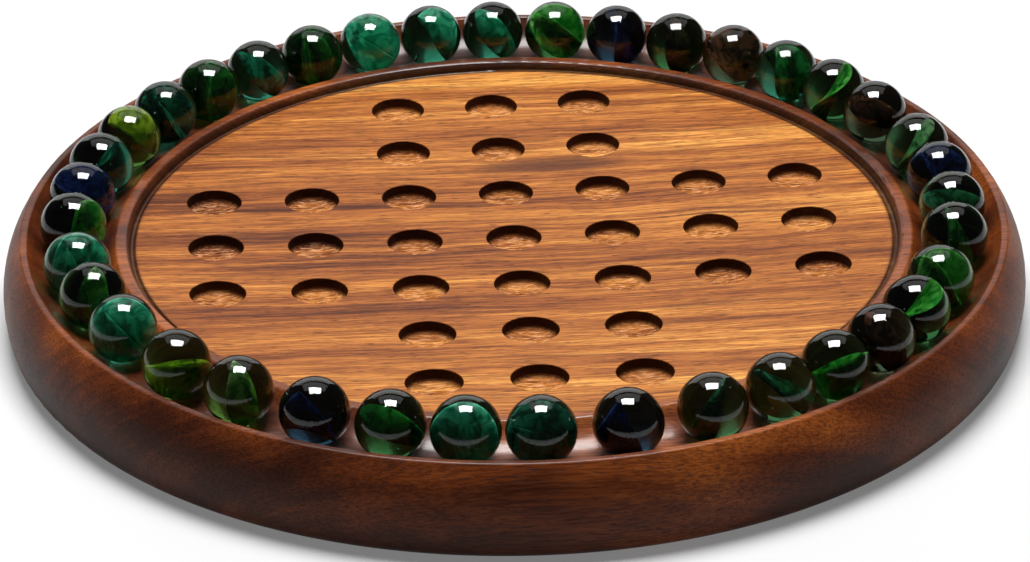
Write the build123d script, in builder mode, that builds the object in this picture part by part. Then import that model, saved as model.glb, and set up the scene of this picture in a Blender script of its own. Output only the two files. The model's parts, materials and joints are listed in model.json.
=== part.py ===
"""Marble solitaire board: a turned hardwood disc with 33 dimples and 38 glass marbles in its rim groove.

Millimetres, +Z up.  The origin is the centre of the flat base, and X runs along the rows of dimples.
The marbles set the size of the ring that they lie in, the rim and the lip stand on either side of that ring,
and the cross of dimples fills the play surface inside the lip.
"""
import os
from math import cos, hypot, radians, sin, sqrt

from build123d import *

# Marbles
marble_diameter = 16.0
marble_count = 38
marble_gap = 0.52  # between neighbours that lie close together
seat_clearance = 0.1  # under a marble that rests in the groove
# The marbles lie loose in the groove.  These stand further from the next one, in degrees, by number.
wide_gaps = {
    2: 0.8, 3: 2.9, 4: 1.6, 5: 1.9, 6: 0.75, 7: 0.15, 9: 1.5, 10: 1.8, 11: 0.6, 16: 3.4, 20: 2.6, 38: 2.4
}
first_marble_angle = -171.0

# Turned outline of the board
board_height = 22.5
belly_height = 8.6  # where the side is widest
rim_inset = 4.8  # how far the top of the side lies inside the belly
rim_land = 1.65  # width of the rim before its corners are rounded
rim_rounding = 0.8
foot_rounding = 4.0

# Marble groove, round in section, between the rim and the inner lip
groove_depth = 7.3  # below the rim
groove_slack = 4.0  # how much larger the groove's radius is than a marble's

# Inner lip, and the step down from it to the play surface
lip_drop = 2.1  # below the rim
lip_land = 2.43  # width of the lip before its corners are rounded
lip_rounding = 1.0
step_run = 1.1  # how far the foot of the step lies inside the lip
step_hollow = 0.25  # how far the step is coved
bead_width = 0.9
bead_rise = 0.3
quirk_width = 0.4  # the fine cut beside the bead
quirk_depth = 0.3

# Play surface: slightly dished, with a cross of dimples
play_depth = 6.1  # of its lowest point, at the centre, below the rim
play_dish = 1.9  # rise from the centre to the edge
edge_margin = 8.71  # between the outermost dimples and the edge
arm_holes = 3  # dimples across each arm of the cross
row_holes = 7  # dimples along the two long rows through the centre
dimple_inset = 1.3  # how much smaller a dimple's radius is than a marble's
dimple_clearance = 0.3  # under a marble that rests on a dimple's edge
dimple_sag = 0.9  # how far the floor of a dimple falls from its side to its middle
dimple_corner = 1.2  # rounding between its side and its floor
dimple_rounding = 0.15  # of its edge
point_radius = 1.9  # the pit that the drill's point leaves in the middle
point_depth = 0.6

# Worked out from the sizes above
marble_radius = marble_diameter / 2
even_gap = (360 - sum(wide_gaps.values())) / marble_count
ring_radius = (marble_radius + marble_gap / 2) / sin(radians(even_gap) / 2)
groove_arc_radius = marble_radius + groove_slack
groove_floor = board_height - groove_depth
marble_height = groove_floor + seat_clearance + marble_radius
lip_height = board_height - lip_drop


def groove_reach(height):
    """Half the width of the groove at a height."""
    return sqrt(groove_arc_radius**2 - (groove_floor + groove_arc_radius - height) ** 2)


rim_radius = ring_radius + groove_reach(board_height) + rim_land
board_radius = rim_radius + rim_inset
side_rise = board_height - belly_height
side_arc_radius = (side_rise**2 + rim_inset**2) / (2 * rim_inset)
foot_radius = board_radius - side_arc_radius + sqrt(side_arc_radius**2 - belly_height**2)
lip_outer_radius = ring_radius - groove_reach(lip_height)
lip_inner_radius = lip_outer_radius - lip_land
step_radius = lip_inner_radius - step_run
play_radius = step_radius - bead_width - quirk_width
play_floor = board_height - play_depth
play_edge = play_floor + play_dish
dish_radius = (play_radius**2 + play_dish**2) / (2 * play_dish)
blank_rise = 2 * play_dish  # what the blank stands proud of the play surface before it is dished
dimple_radius = marble_radius - dimple_inset
marble_sink = marble_radius - sqrt(marble_radius**2 - dimple_radius**2)
dimple_wall = marble_sink + dimple_clearance - dimple_sag
dimple_floor_radius = (dimple_radius**2 + dimple_sag**2) / (2 * dimple_sag)
reach = (row_holes - 1) // 2  # pitches from the centre to the end of a long row
arm = (arm_holes - 1) // 2
hole_pitch = (play_radius - edge_margin - dimple_radius) / hypot(reach, arm)


def play_height(radius):
    """Height of the dished play surface at a radius."""
    return play_floor + dish_radius - sqrt(dish_radius**2 - radius**2)


def dimple_height(radius):
    """Height of the floor of a dimple, from the play surface, at a radius from the dimple's middle."""
    return dimple_floor_radius - dimple_wall - dimple_sag - sqrt(dimple_floor_radius**2 - radius**2)


def is_dimple_edge(edge):
    """Whether an edge of the board is where a dimple meets the play surface."""
    point = edge @ 0.5
    drop = play_height(hypot(point.X, point.Y)) - point.Z
    return abs(drop) < dimple_rounding and edge.bounding_box().size.X < marble_diameter


# Corners of the half section of the drill
drill_top = (dimple_radius, marble_radius)
drill_corner = (dimple_radius, -dimple_wall)
point_edge = (point_radius, dimple_height(point_radius))
point_tip = (0, dimple_height(point_radius) - point_depth)

# Corners of the half section of the board
foot = (foot_radius, 0)
rim_outside = (rim_radius, board_height)
rim_inside = (rim_radius - rim_land, board_height)
lip_outside = (lip_outer_radius, lip_height)
lip_inside = (lip_inner_radius, lip_height)
bead_outside = (step_radius, play_edge)
bead_inside = (step_radius - bead_width, play_edge)
quirk_bottom = (step_radius - bead_width - quirk_width / 2, play_edge - quirk_depth)
blank_edge = (play_radius - quirk_width / 2 / quirk_depth * blank_rise, play_edge + blank_rise)

os.makedirs("parts", exist_ok=True)

# The dish of the play surface: a shallow cap of a large ball, with the ball's seam well off the board
with BuildPart() as dish:
    with Locations((0, 0, play_floor + dish_radius)):
        Sphere(dish_radius, rotation=(90, 0, 0))
    with Locations((0, 0, play_floor)):
        Cylinder(play_radius + quirk_width / 2, 2 * board_height, mode=Mode.INTERSECT)

# The drill that cuts the dimples, standing with the play surface at height 0
with BuildPart() as drill:
    with BuildSketch(Plane.XZ) as drill_section:
        with BuildLine():
            Line(drill_top, drill_corner)
            RadiusArc(drill_corner, point_edge, dimple_floor_radius)
            Line(point_edge, point_tip)
            Line(point_tip, (0, drill_top[1]))
            Line((0, drill_top[1]), drill_top)
        make_face()
        fillet(drill_section.vertices().sort_by_distance(drill_corner)[0], dimple_corner)
    revolve(axis=Axis.Z)

# The board: one disc, turned on a lathe and then drilled
with BuildPart() as board:
    with BuildSketch(Plane.XZ) as section:
        with BuildLine():
            Line((0, 0), foot)
            ThreePointArc(foot, (board_radius, belly_height), rim_outside)
            Line(rim_outside, rim_inside)
            ThreePointArc(rim_inside, (ring_radius, groove_floor), lip_outside)
            Line(lip_outside, lip_inside)
            SagittaArc(lip_inside, bead_outside, -step_hollow)
            SagittaArc(bead_outside, bead_inside, bead_rise)
            Line(bead_inside, quirk_bottom)
            Line(quirk_bottom, blank_edge)
            Line(blank_edge, (0, blank_edge[1]))
            Line((0, blank_edge[1]), (0, 0))
        make_face()
        for corners, rounding in (
            ([foot], foot_rounding),
            ([rim_outside, rim_inside], min(rim_rounding, rim_land / 2)),
            ([lip_outside, lip_inside], min(lip_rounding, lip_land / 2)),
        ):
            for corner in corners:
                fillet(section.vertices().sort_by_distance(corner)[0], rounding)
    revolve(axis=Axis.Z)
    add(dish.part, mode=Mode.SUBTRACT)
    steps = range(-reach, reach + 1)
    for column, row in ((c, r) for c in steps for r in steps if abs(c) <= arm or abs(r) <= arm):
        x, y = column * hole_pitch, row * hole_pitch
        with Locations((x, y, play_height(hypot(x, y)))):
            add(drill.part, mode=Mode.SUBTRACT)
    fillet(board.edges().filter_by(is_dimple_edge), dimple_rounding)
board.part.label = "board"
export_step(board.part, "parts/board.step")

# The marbles, numbered anticlockwise from the left-hand side
angle = first_marble_angle
for number in range(1, marble_count + 1):
    x, y = ring_radius * cos(radians(angle)), ring_radius * sin(radians(angle))
    with BuildPart() as marble:
        with Locations((x, y, marble_height)):
            Sphere(marble_radius)
    marble.part.label = f"marble_{number:02d}"
    export_step(marble.part, f"parts/{marble.part.label}.step")
    angle += even_gap + wide_gaps.get(number, 0)
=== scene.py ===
"""Marble solitaire board: the looks.

A turned rosewood disc under clear lacquer, with 38 bottle-glass marbles in its rim groove.
Metres, +Z up, and the origin at the centre of the flat base, as in the frame.
The rows of dimples and the grain of the wood run along X.
"""
import json
import math
import random

import bpy
from mathutils import Matrix, Vector


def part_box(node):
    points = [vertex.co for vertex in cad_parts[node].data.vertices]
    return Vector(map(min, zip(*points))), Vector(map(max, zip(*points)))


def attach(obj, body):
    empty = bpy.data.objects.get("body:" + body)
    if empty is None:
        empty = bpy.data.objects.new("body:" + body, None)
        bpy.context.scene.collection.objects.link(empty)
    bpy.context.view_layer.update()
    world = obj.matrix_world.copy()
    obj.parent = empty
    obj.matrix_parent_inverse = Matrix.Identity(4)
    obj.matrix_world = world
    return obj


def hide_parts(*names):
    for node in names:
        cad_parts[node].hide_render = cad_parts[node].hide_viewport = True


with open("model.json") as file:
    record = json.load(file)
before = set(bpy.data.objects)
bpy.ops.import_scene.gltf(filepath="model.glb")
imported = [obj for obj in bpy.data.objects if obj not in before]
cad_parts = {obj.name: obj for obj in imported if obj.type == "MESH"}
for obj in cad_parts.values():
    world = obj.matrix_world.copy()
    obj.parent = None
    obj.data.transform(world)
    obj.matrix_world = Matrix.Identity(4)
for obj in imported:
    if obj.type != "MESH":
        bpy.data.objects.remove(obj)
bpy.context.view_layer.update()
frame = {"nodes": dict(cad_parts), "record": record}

# ------------------------------------------------------------------------------------ sizes, in metres
MM = 0.001
board_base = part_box("board")[0].z
marble_names = [name for name in sorted(frame["nodes"]) if name.startswith("marble_")]
marble_low, marble_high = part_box(marble_names[0])
marble_radius = (marble_high.z - marble_low.z) / 2
play_floor = 16.4 * MM  # lowest point of the dished play surface
play_rise = 1.9 * MM  # from there to its edge
play_radius = 91.3 * MM

# -------------------------------------------------------------------------------- modelling by hand
def deselect():
    """Leaves edit mode and lets go of everything."""
    if bpy.context.object and bpy.context.object.mode == "EDIT":
        bpy.ops.object.mode_set(mode="OBJECT")
    bpy.ops.object.select_all(action="DESELECT")


def take_up(piece):
    """Makes piece the one selected object."""
    deselect()
    piece.select_set(True)
    bpy.context.view_layer.objects.active = piece


def named(name):
    """Names the object that was just added."""
    piece = bpy.context.object
    piece.name = piece.data.name = name
    return piece


def edit(piece):
    """Opens piece in edit mode with all of it selected."""
    take_up(piece)
    bpy.ops.object.mode_set(mode="EDIT")
    bpy.ops.mesh.select_all(action="SELECT")


def apply_modifier(piece, kind, **settings):
    """Adds a modifier with these settings and applies it."""
    take_up(piece)
    modifier = piece.modifiers.new(kind, kind)
    for name, value in settings.items():
        setattr(modifier, name, value)
    bpy.ops.object.modifier_apply(modifier=modifier.name)


def turned_copy(master, name, turn, place):
    """A copy of master with a mesh of its own, turned about the origin and then put at place."""
    piece = bpy.data.objects.new(name, master.data.copy())
    piece.data.name = name
    piece.data.transform(Matrix.Translation(place) @ turn.to_4x4())
    bpy.context.scene.collection.objects.link(piece)
    return piece


# -------------------------------------------------------------------------------- finishes
class Value:
    """What comes out of a node.  Arithmetic on it adds Math nodes."""

    def __init__(self, finish, socket):
        self.finish = finish
        self.socket = socket

    def math(self, operation, *others):
        inputs = dict(enumerate((self, *others)))
        return self.finish.node("ShaderNodeMath", {"operation": operation}, inputs)

    def __add__(self, other):
        return self.math("ADD", other)

    def __sub__(self, other):
        return self.math("SUBTRACT", other)

    def __mul__(self, other):
        return self.math("MULTIPLY", other)

    def __truediv__(self, other):
        return self.math("DIVIDE", other)

    def __pow__(self, other):
        return self.math("POWER", other)

    def __rsub__(self, other):
        return self.finish.node("ShaderNodeMath", {"operation": "SUBTRACT"}, {0: other, 1: self})

    __radd__ = __add__
    __rmul__ = __mul__

    def between(self, low, high):
        """0 below low, 1 above high, and smooth between."""
        limits = {"Value": self, "From Min": low, "From Max": high}
        return self.finish.node("ShaderNodeMapRange", {"interpolation_type": "SMOOTHSTEP"}, limits)


class Finish:
    """A material and the nodes that it is made of."""

    def __init__(self, name):
        self.material = bpy.data.materials.new(name)
        self.material.use_nodes = True
        self.tree = self.material.node_tree
        self.tree.nodes.clear()

    def node(self, kind, settings=None, inputs=None, output=0):
        """Adds a node, gives it its settings and what goes into its sockets, and returns one output."""
        made = self.tree.nodes.new(kind)
        for name, value in (settings or {}).items():
            if name == "stops":
                self.set_stops(made.color_ramp, value)
            else:
                setattr(made, name, value)
        for socket, value in (inputs or {}).items():
            if isinstance(value, Value):
                self.tree.links.new(value.socket, made.inputs[socket])
            else:
                made.inputs[socket].default_value = value
        return Value(self, made.outputs[output]) if made.outputs else made

    @staticmethod
    def set_stops(ramp, stops):
        """Gives a colour ramp its stops, each a place from 0 to 1 and a colour."""
        while len(ramp.elements) < len(stops):
            ramp.elements.new(1)
        for element, (position, colour) in zip(ramp.elements, stops):
            element.position = position
            element.color = colour

    def place(self):
        """The point on the surface, in millimetres."""
        point = self.node("ShaderNodeTexCoord", output="Object")
        return self.node("ShaderNodeVectorMath", {"operation": "SCALE"}, {0: point, "Scale": 1 / MM})

    def split(self, vector):
        """The x, y and z of a vector."""
        made = self.node("ShaderNodeSeparateXYZ", inputs={0: vector}).socket.node
        return [Value(self, socket) for socket in made.outputs]

    def vector(self, x, y, z):
        """A vector from its x, y and z."""
        return self.node("ShaderNodeCombineXYZ", inputs={0: x, 1: y, 2: z})

    def stretched(self, vector, lengths):
        """vector divided by a length for each axis."""
        shares = tuple(1 / length for length in lengths)
        return self.node("ShaderNodeVectorMath", {"operation": "MULTIPLY"}, {0: vector, 1: shares})

    def noise(self, vector, lengths, detail=2.0, roughness=0.5, distortion=0.0):
        """Noise from 0 to 1 whose patches have these lengths along x, y and z."""
        inputs = {"Vector": self.stretched(vector, lengths), "Scale": 1.0, "Detail": detail}
        inputs.update({"Roughness": roughness, "Distortion": distortion})
        return self.node("ShaderNodeTexNoise", inputs=inputs)

    def mix(self, share, first, second, blend="MIX"):
        """Two colours mixed, share of the second."""
        settings = {"data_type": "RGBA", "blend_type": blend}
        return self.node("ShaderNodeMix", settings, {0: share, 6: first, 7: second}, output=2)

    def bump(self, height, distance, strength):
        """A normal from a height."""
        inputs = {"Height": height, "Distance": distance, "Strength": strength}
        return self.node("ShaderNodeBump", inputs=inputs)

    def surface(self, volume=None, **inputs):
        """The Principled shader and the output.  Sockets are named with _ for a space."""
        sockets = {name.replace("_", " "): value for name, value in inputs.items()}
        shader = self.node("ShaderNodeBsdfPrincipled", inputs=sockets)
        ends = {"Surface": shader}
        if volume is not None:
            ends["Volume"] = volume
        self.node("ShaderNodeOutputMaterial", inputs=ends)
        return self.material


def paint(red, green, blue):
    """A colour given as on a colour card, from 0 to 255, as the light that it sends back."""
    shares = (c / 255 for c in (red, green, blue))
    return (*(s / 12.92 if s <= 0.04045 else ((s + 0.055) / 1.055) ** 2.4 for s in shares), 1.0)


def rosewood():
    """Flat-sawn rosewood, lacquered: gold and brown in the play surface, chocolate outside it."""
    wood = Finish("rosewood")
    point = wood.place()
    x, y, z = wood.split(point)
    radius = (x * x + y * y) ** 0.5
    # the parts of the board, by the radii between which one gives way to the next
    inside = 1 - radius.between(88.0, 90.0)
    outside = radius.between(91.0, 93.5)
    # the foot and wall of the step, where shade is painted in below
    step_foot_shade = radius.between(90.6, 91.6) * (1 - radius.between(92.6, 94.0))
    lip = radius.between(92.5, 94.0) * (1 - radius.between(96.0, 98.0))
    rim = radius.between(115.0, 116.5)
    side = radius.between(118.0, 119.0)
    # growth rings round a heart that lies along X, far below the front of the board, and wander a little
    heart_y, heart_z = -260.0, -120.0
    wander = wood.noise(point, (150, 60, 60), 2) * 13.0 + wood.noise(point, (34, 12, 12), 3) * 4.2
    ring = ((y - heart_y) ** 2 + (z - heart_z) ** 2) ** 0.5 + wander
    along = wood.vector(x, ring, 0.0)
    tone = wood.noise(along, (260, 9, 1), 4, 0.6)
    streak = wood.noise(along, (70, 1.4, 1), 5, 0.75)
    line = wood.noise(along, (120, 2.2, 1), 3, 0.55).between(0.56, 0.68)
    fibre = wood.noise(point, (14, 0.5, 0.5), 3, 0.7)
    pore = wood.noise(point, (3.6, 0.36, 0.36), 1, 0.5).between(0.60, 0.68)
    patch = wood.noise(point, (60, 30, 26), 3, 0.55)

    # the wood of the play surface is a little paler to the right, and at the front and the back
    paler_by_place = x * 0.0004 + y * y * 0.000007 - 0.018
    gold = wood.node("ShaderNodeValToRGB", {"stops": (
        (0.37, paint(76, 35, 13)),
        (0.45, paint(132, 72, 28)),
        (0.54, paint(170, 105, 44)),
        (0.64, paint(214, 155, 76)),
    )}, {0: tone * 0.55 + streak * 0.45 + paler_by_place})
    gold = wood.mix(line * 0.5, gold, paint(90, 44, 19))
    # paler on the lip and the rim; the side is painted lighter towards its top, as painted light from above
    belly = 13.0
    pale_lip_and_lit_side = lip * 0.08 + rim * 0.04 + side * ((z - belly) * 0.006 - 0.018)
    chocolate = wood.node("ShaderNodeValToRGB", {"stops": (
        (0.36, paint(32, 13, 5)),
        (0.48, paint(66, 28, 10)),
        (0.58, paint(106, 50, 17)),
        (0.68, paint(146, 78, 30)),
    )}, {0: patch * 0.6 + streak * 0.2 + tone * 0.2 + pale_lip_and_lit_side})
    colour = wood.mix(outside, gold, chocolate)
    colour = wood.mix(fibre.between(0.44, 0.58) * 0.6, colour, paint(150, 124, 104), "MULTIPLY")
    colour = wood.mix(pore * 0.55, colour, paint(46, 20, 11))
    # painted shade darkens the corner at the foot of the step and the step's wall
    colour = wood.mix(step_foot_shade * 0.75, colour, paint(26, 11, 6))
    # a dark burr behind the centre, four times as long as it is wide
    burr_x, burr_y, burr_length, burr_width = 12.0, 38.0, 15.5, 3.7
    away = ((x - burr_x) / burr_length) ** 2 + ((y - burr_y) / burr_width) ** 2
    colour = wood.mix((1 - (away + patch * 3).between(2.0, 4.2)) * 0.75, colour, paint(60, 28, 16))

    # the side of each dimple is painted dark as painted shade, and the drill leaves torn, paler grain with
    # dark specks on its floor
    dish = play_floor / MM + (radius / (play_radius / MM)) ** 2 * (play_rise / MM)
    depth = dish - z
    shaded_dimple_wall = depth.between(0.10, 0.35) * (1 - depth.between(2.1, 3.5)) * inside
    drilled = depth.between(2.1, 3.5) * inside
    torn = wood.noise(point, (2.6, 0.4, 0.4), 3, 0.7)
    colour = wood.mix(drilled * torn.between(0.48, 0.66) * 0.6, colour, paint(214, 160, 116))
    colour = wood.mix(drilled * (1 - torn.between(0.34, 0.46)) * 0.6, colour, paint(64, 30, 18))
    # painted shade on the steep side of each dimple
    colour = wood.mix(shaded_dimple_wall * 0.9, colour, paint(30, 11, 5))
    height = fibre * 0.5 - pore * 0.7 + torn * drilled * 2.4
    normal = wood.bump(height, 0.06 * MM, 0.6)
    roughness = 0.40 + streak * 0.12 + (drilled + shaded_dimple_wall) * 0.4 + pore * 0.2
    turned = outside * (1 - side)
    lacquer = (0.03 + turned * 0.4) * (1 - drilled)
    return wood.surface(Base_Color=colour, Roughness=roughness, Normal=normal, Coat_Weight=lacquer,
                        Coat_Roughness=0.2, Specular_IOR_Level=0.13)


def bottle_glass(name, passed):
    """Clear glass that passes these shares of red, green and blue through a whole marble."""
    glass = Finish(name)
    point = glass.place()
    density = 300.0
    colour = [1 + math.log(share) / (density * 2 * marble_radius) for share in passed]
    settings = {"Color": (*colour, 1.0), "Density": density}
    absorbed = glass.node("ShaderNodeVolumeAbsorption", inputs=settings)
    # pressed glass isn't a perfect ball, and has a few scuffs
    swell = glass.noise(point, (5, 5, 5), 1)
    scuff = glass.noise(point, (0.35, 0.35, 0.35), 2, 0.5).between(0.66, 0.74)
    normal = glass.bump(swell - scuff * 0.05, 0.02 * MM, 0.6)
    return glass.surface(volume=absorbed, Base_Color=(1, 1, 1, 1), Roughness=0.0, IOR=1.5,
                         Transmission_Weight=1.0, Normal=normal)


def vane_glass(name, light, dark):
    """The coloured glass of a vane, in soft streaks, thin enough to see through between them."""
    glass = Finish(name)
    point = glass.place()
    streak = glass.noise(point, (3.4, 3.4, 3.4), 3, 0.55, 1.2)
    colour = glass.mix(streak.between(0.38, 0.62), dark, light)
    wisp = glass.noise(point, (2.6, 2.6, 5.0), 2, 0.5, 0.8).between(0.30, 0.48)
    return glass.surface(Base_Color=colour, Roughness=0.6, IOR=1.2, Alpha=0.3 + wisp * 0.7)


# -------------------------------------------------------------------------------- glass and vanes
def ball_with_bubbles(name, bubbles, seed):
    """A marble's glass about the origin, with seed bubbles in it."""
    bpy.ops.mesh.primitive_cube_add(size=2 * marble_radius)
    ball = named(name)
    edit(ball)
    bpy.ops.mesh.subdivide(number_cuts=23)
    bpy.ops.object.mode_set(mode="OBJECT")
    apply_modifier(ball, "CAST", factor=1.0, use_radius_as_size=False, size=marble_radius)
    chance = random.Random(seed)
    for bubble_number in range(bubbles):
        way = Vector([chance.gauss(0, 1) for axis in range(3)]).normalized()
        depth = marble_radius * chance.uniform(0.3, 0.93)
        size = 0.05 * MM + 0.13 * MM * chance.random() ** 3
        deselect()
        bpy.ops.mesh.primitive_ico_sphere_add(subdivisions=2, radius=size, location=way * depth)
        bubble = named("bubble")
        edit(bubble)
        bpy.ops.transform.resize(value=(1, 1, chance.uniform(0.8, 1.3)), center_override=way * depth)
        bpy.ops.mesh.flip_normals()
        deselect()
        bubble.select_set(True)
        ball.select_set(True)
        bpy.context.view_layer.objects.active = ball
        bpy.ops.object.join()
    take_up(ball)
    bpy.ops.object.shade_smooth()
    return ball


def vane(name, blades, reach, length, thickness, twist):
    """Blades of coloured glass that stand out from one line along Z, twisted about it by so many degrees.

    A blade's reach from that line, half its length and half its thickness are shares of a marble's radius.
    """
    deselect()
    bpy.ops.mesh.primitive_uv_sphere_add(segments=40, ring_count=24, radius=marble_radius)
    piece = named(name)
    edit(piece)
    bpy.ops.transform.resize(value=(reach, thickness, length), center_override=(0, 0, 0))
    bpy.ops.mesh.bisect(plane_co=(0, 0, 0), plane_no=(1, 0, 0), clear_inner=True, use_fill=True)
    bpy.ops.mesh.select_all(action="SELECT")
    for blade in range(1, blades):
        # the last blade is doubled, and its double turned on to its own place
        bpy.ops.mesh.duplicate()
        bpy.ops.transform.rotate(value=math.tau / blades, orient_axis="Z", center_override=(0, 0, 0))
    bpy.ops.object.mode_set(mode="OBJECT")
    apply_modifier(piece, "SUBSURF", subdivision_type="SIMPLE", levels=1, render_levels=1)
    turn = math.radians(twist)
    apply_modifier(piece, "SIMPLE_DEFORM", deform_method="TWIST", deform_axis="Z", angle=turn)
    bpy.ops.object.shade_smooth()
    return piece


# -------------------------------------------------------------------------------- the board
board_finish = rosewood()
board = frame["nodes"]["board"]
board.data.materials.clear()
board.data.materials.append(board_finish)

# -------------------------------------------------------------------------------- the marbles
glasses = {
    "green": bottle_glass("green_bottle_glass", (0.018, 0.10, 0.026)),
    "teal": bottle_glass("teal_bottle_glass", (0.016, 0.17, 0.095)),
    "blue": bottle_glass("blue_bottle_glass", (0.006, 0.028, 0.05)),
    "olive": bottle_glass("olive_bottle_glass", (0.045, 0.13, 0.018)),
    "brown": bottle_glass("brown_bottle_glass", (0.03, 0.06, 0.03)),
    "clear": bottle_glass("clear_bottle_glass", (0.026, 0.10, 0.036)),
}
vane_paints = {
    "bright": vane_glass("bright_green_vane", paint(170, 235, 130), paint(60, 170, 70)),
    "green": vane_glass("green_vane", paint(90, 180, 95), paint(30, 105, 50)),
    "pale": vane_glass("pale_green_vane", paint(215, 240, 200), paint(100, 145, 110)),
    "teal": vane_glass("teal_vane", paint(140, 240, 205), paint(45, 160, 130)),
    "dim": vane_glass("dim_teal_vane", paint(75, 140, 120), paint(25, 70, 60)),
    "navy": vane_glass("navy_vane", paint(75, 95, 160), paint(28, 36, 80)),
    "yellow": vane_glass("yellow_vane", paint(245, 235, 85), paint(170, 170, 55)),
    "brown": vane_glass("brown_vane", paint(170, 95, 75), paint(85, 45, 35)),
}
balls = {count: ball_with_bubbles(f"ball_{count}", count, seed) for seed, count in enumerate((5, 16, 50))}
vanes = {
    "ribbon": vane("ribbon", 2, 0.66, 0.86, 0.06, 60),
    "wisp": vane("wisp", 2, 0.30, 0.84, 0.10, 100),
    "blades": vane("blades", 3, 0.60, 0.84, 0.07, 50),
    "cross": vane("cross", 4, 0.62, 0.84, 0.06, 35),
    "leaf": vane("leaf", 1, 0.80, 0.66, 0.10, 90),
    "fan": vane("fan", 2, 0.72, 0.80, 0.16, 25),
}
# what is in each marble: its vane and the vane's colour, the degrees that the vane leans to the left as seen
# from the front, the degrees that it is spun about its own length, and the number of bubbles
insides = (
    ("ribbon", "teal", 25, 20, 50), ("wisp", "bright", -5, 0, 16), ("fan", "teal", 40, 10, 50),
    ("leaf", "yellow", -90, 10, 5), ("wisp", "pale", 8, 30, 5), ("leaf", "navy", 30, 150, 50),
    ("wisp", "green", 60, 10, 50), ("fan", "teal", 15, -15, 16), ("fan", "dim", 75, 10, 16),
    ("leaf", "navy", 20, 180, 50), ("wisp", "dim", -20, 40, 16), ("wisp", "dim", 50, 90, 50),
    ("leaf", "bright", -70, 15, 5), ("wisp", "brown", 30, 20, 16), ("ribbon", "bright", -50, 70, 5),
    ("cross", "bright", 35, 20, 5), ("wisp", "green", 15, 60, 50), ("wisp", "dim", 80, 30, 50),
    ("blades", "navy", 40, 10, 16), ("wisp", "pale", -30, 80, 16), ("wisp", "brown", 65, 0, 5),
    ("ribbon", "bright", -35, 70, 5), ("blades", "green", 20, 110, 16), ("ribbon", "brown", 70, 50, 5),
    ("wisp", "brown", 10, 20, 16), ("ribbon", "navy", 15, 80, 5), ("cross", "bright", 60, 40, 5),
    ("wisp", "teal", 35, 10, 16), ("leaf", "teal", 30, 0, 5), ("ribbon", "teal", 55, 40, 16),
    ("cross", "green", 15, 60, 5), ("wisp", "dim", 45, 50, 16), ("blades", "green", 5, 30, 16),
    ("cross", "dim", 35, 10, 16), ("leaf", "yellow", 50, 20, 5), ("wisp", "dim", -40, 70, 16),
    ("ribbon", "navy", 60, 75, 16), ("leaf", "bright", -20, 10, 16),
)
slot_of = {part["node"]: part["material_slot"] for part in frame["record"]["subparts"]}
for name, (style, shade, lean, spin, bubbles) in zip(marble_names, insides, strict=True):
    low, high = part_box(name)
    centre = (low + high) / 2
    turn = Matrix.Rotation(math.radians(-lean), 3, "Y") @ Matrix.Rotation(math.radians(spin), 3, "Z")
    glass = turned_copy(balls[bubbles], name + "_glass", turn, centre)
    glass.data.materials.clear()
    glass.data.materials.append(glasses[slot_of[name].removesuffix("_glass")])
    inner = turned_copy(vanes[style], name + "_vane", turn, centre)
    inner.data.materials.clear()
    inner.data.materials.append(vane_paints[shade])
    for piece in (glass, inner):
        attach(piece, name)
    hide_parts(name)
for master in (*balls.values(), *vanes.values()):
    bpy.data.objects.remove(master)

# -------------------------------------------------------------------------------- the studio
camera_azimuth, camera_elevation, camera_roll = 4.35, 27.8, -0.8  # in degrees
camera_distance = 960 * MM
camera_aim = Vector((-1.6 * MM, -22.6 * MM, play_floor))


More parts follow.
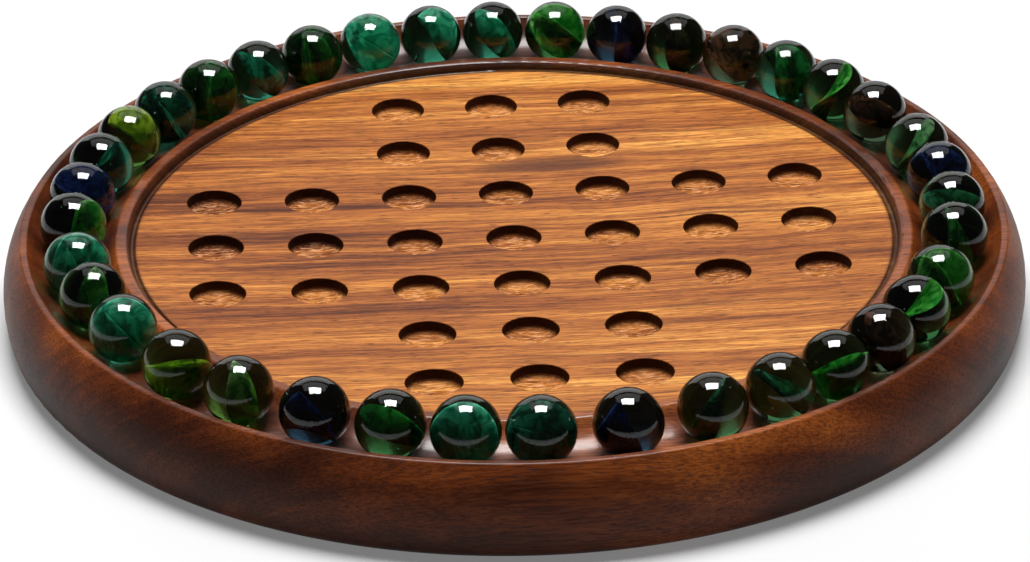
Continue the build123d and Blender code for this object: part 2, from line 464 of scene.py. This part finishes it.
def look_from(azimuth, elevation, roll=0.0):
    """The turn of a camera or lamp, and the way that it looks.  Azimuth 0 looks along +Y."""
    turn, tilt, lean = (math.radians(angle) for angle in (azimuth, elevation, roll))
    forward = Vector((math.sin(turn) * math.cos(tilt), math.cos(turn) * math.cos(tilt), -math.sin(tilt)))
    right = Vector((math.cos(turn), -math.sin(turn), 0))
    up = right.cross(forward)
    leaning_right = math.cos(lean) * right + math.sin(lean) * up
    leaning_up = math.cos(lean) * up - math.sin(lean) * right
    return Matrix((leaning_right, leaning_up, -forward)).transposed(), forward


def add_camera():
    """A long lens, nearly a metre from the middle of the board, in front of it and a little to its left."""
    turn, forward = look_from(camera_azimuth, camera_elevation, camera_roll)
    lens = bpy.data.cameras.new("camera")
    lens.lens, lens.sensor_width = 141.4, 36.0
    lens.clip_start, lens.clip_end = 0.05, 50.0
    camera = bpy.data.objects.new("camera", lens)
    bpy.context.scene.collection.objects.link(camera)
    camera.matrix_world = Matrix.Translation(camera_aim - camera_distance * forward) @ turn.to_4x4()
    bpy.context.scene.camera = camera


def softbox(name, azimuth, elevation, distance, width, height, brightness):
    """A flat lamp that faces the middle of the board.  Brightness is the radiance of its face."""
    turn, forward = look_from(azimuth, elevation)
    lamp = bpy.data.lights.new(name, "AREA")
    lamp.shape = "RECTANGLE"
    lamp.size, lamp.size_y = width, height
    lamp.energy = brightness * math.pi * width * height
    light = bpy.data.objects.new(name, lamp)
    bpy.context.scene.collection.objects.link(light)
    light.matrix_world = Matrix.Translation(-distance * forward) @ turn.to_4x4()


def add_floor():
    """A plain white table."""
    deselect()
    bpy.ops.mesh.primitive_plane_add(size=24, location=(0, 0, board_base - 0.1 * MM))
    floor = named("floor")
    white = Finish("white_table")
    floor.data.materials.append(white.surface(Base_Color=(0.42, 0.42, 0.42, 1), Roughness=0.8,
                                              Emission_Color=(1, 1, 1, 1), Emission_Strength=0.18))


add_camera()
add_floor()
# a small bright softbox over the board, a dim scrim behind it, and a wide backdrop low down at the back
softbox("overhead_softbox", camera_azimuth, 97.3, 1.0, 0.56, 0.44, 26.0)
softbox("scrim", camera_azimuth, 118.0, 1.6, 1.6, 1.0, 0.8)
softbox("backdrop", 0.0, 160.0, 3.0, 3.0, 1.6, 1.0)
world = bpy.data.worlds.new("dim_room")
world.use_nodes = True
world.node_tree.nodes["Background"].inputs["Color"].default_value = (0.03, 0.03, 0.03, 1)
bpy.context.scene.world = world
bpy.context.scene.view_settings.view_transform = "Standard"
